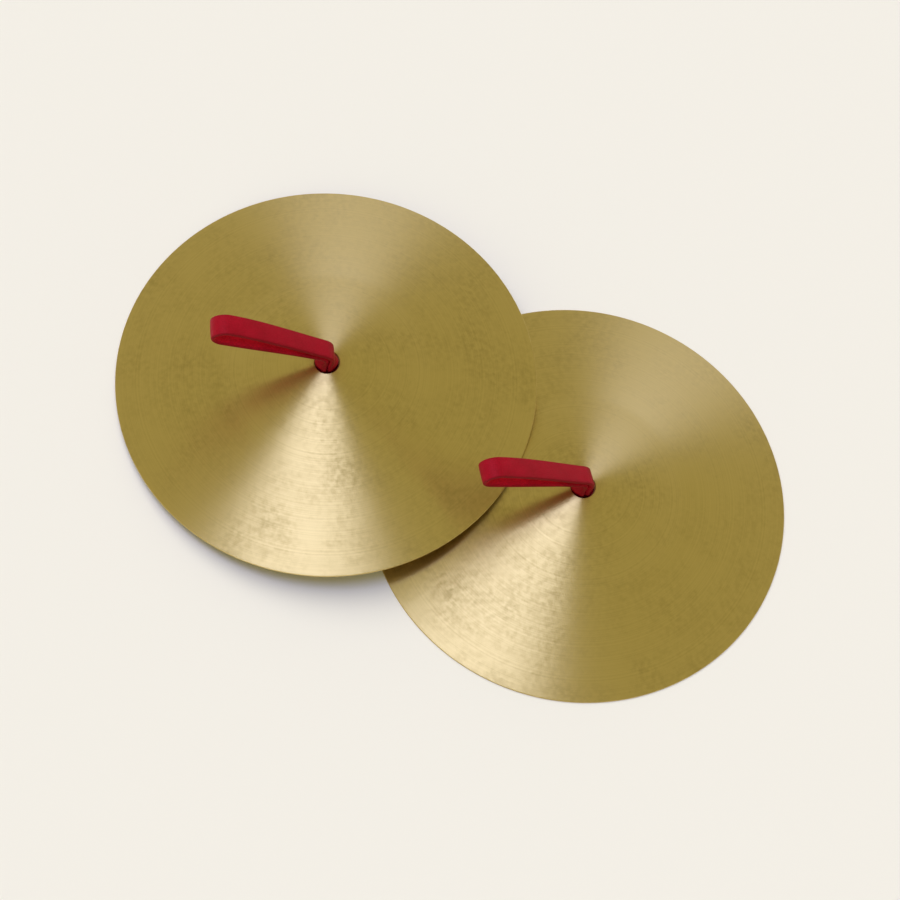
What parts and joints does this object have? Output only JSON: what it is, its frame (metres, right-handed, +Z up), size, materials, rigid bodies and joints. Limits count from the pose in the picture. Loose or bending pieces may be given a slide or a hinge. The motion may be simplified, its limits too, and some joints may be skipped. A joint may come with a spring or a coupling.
{
  "type": "pair of clash cymbals",
  "caption": "Pair of small brass clash cymbals with looped leather hand straps, one lying flat and the other leaning on its bell.",
  "frame": {"origin": "on the floor, in the middle of the pair's outline seen from above", "axes": "+X along the line of the two hubs, from the leaning cymbal to the flat one; +Z up from the floor"},
  "size_m": [0.3312, 0.2, 0.0742],
  "materials": {
    "turned_brass": "lathe-turned, fine circular grooves",
    "red_leather": "smooth dyed leather, matt",
    "tan_leather": "natural leather, matt"
  },
  "bodies": {
    "lower_cymbal": {"lower_plate": "turned_brass"},
    "lower_strap_seat": {"lower_washer": "tan_leather", "lower_strap_knot": "red_leather"},
    "lower_strap": {"lower_strap_loop": "red_leather"},
    "upper_cymbal": {"upper_plate": "turned_brass"},
    "upper_strap_seat": {"upper_washer": "tan_leather", "upper_strap_knot": "red_leather"},
    "upper_strap": {"upper_strap_loop": "red_leather"}
  },
  "joints": [
    {"name": "lower_strap_swivel", "type": "hinge", "parent": "lower_cymbal", "child": "lower_strap_seat", "pos_m": [0.06556, 0, 0.02375], "axis": [0, 0, 1], "continuous": true},
    {"name": "lower_strap_tilt", "type": "hinge", "parent": "lower_strap_seat", "child": "lower_strap", "pos_m": [0.06556, 0, 0.02695], "axis": [0.5948, -0.8039, 0], "range_deg": [-75, 33]},
    {"name": "upper_lift", "type": "slide", "parent": "lower_cymbal", "child": "upper_cymbal", "axis": [-0.5, 0, 0.866], "range_m": [0, 0.25]},
    {"name": "upper_strap_swivel", "type": "hinge", "parent": "upper_cymbal", "child": "upper_strap_seat", "pos_m": [-0.06817, 0, 0.03306], "axis": [-0.0941, 0, 0.9956], "continuous": true},
    {"name": "upper_strap_tilt", "type": "hinge", "parent": "upper_strap_seat", "child": "upper_strap", "pos_m": [-0.06847, 0, 0.03624], "axis": [0.4442, -0.8949, 0.042], "range_deg": [-75, 42]}
  ]
}
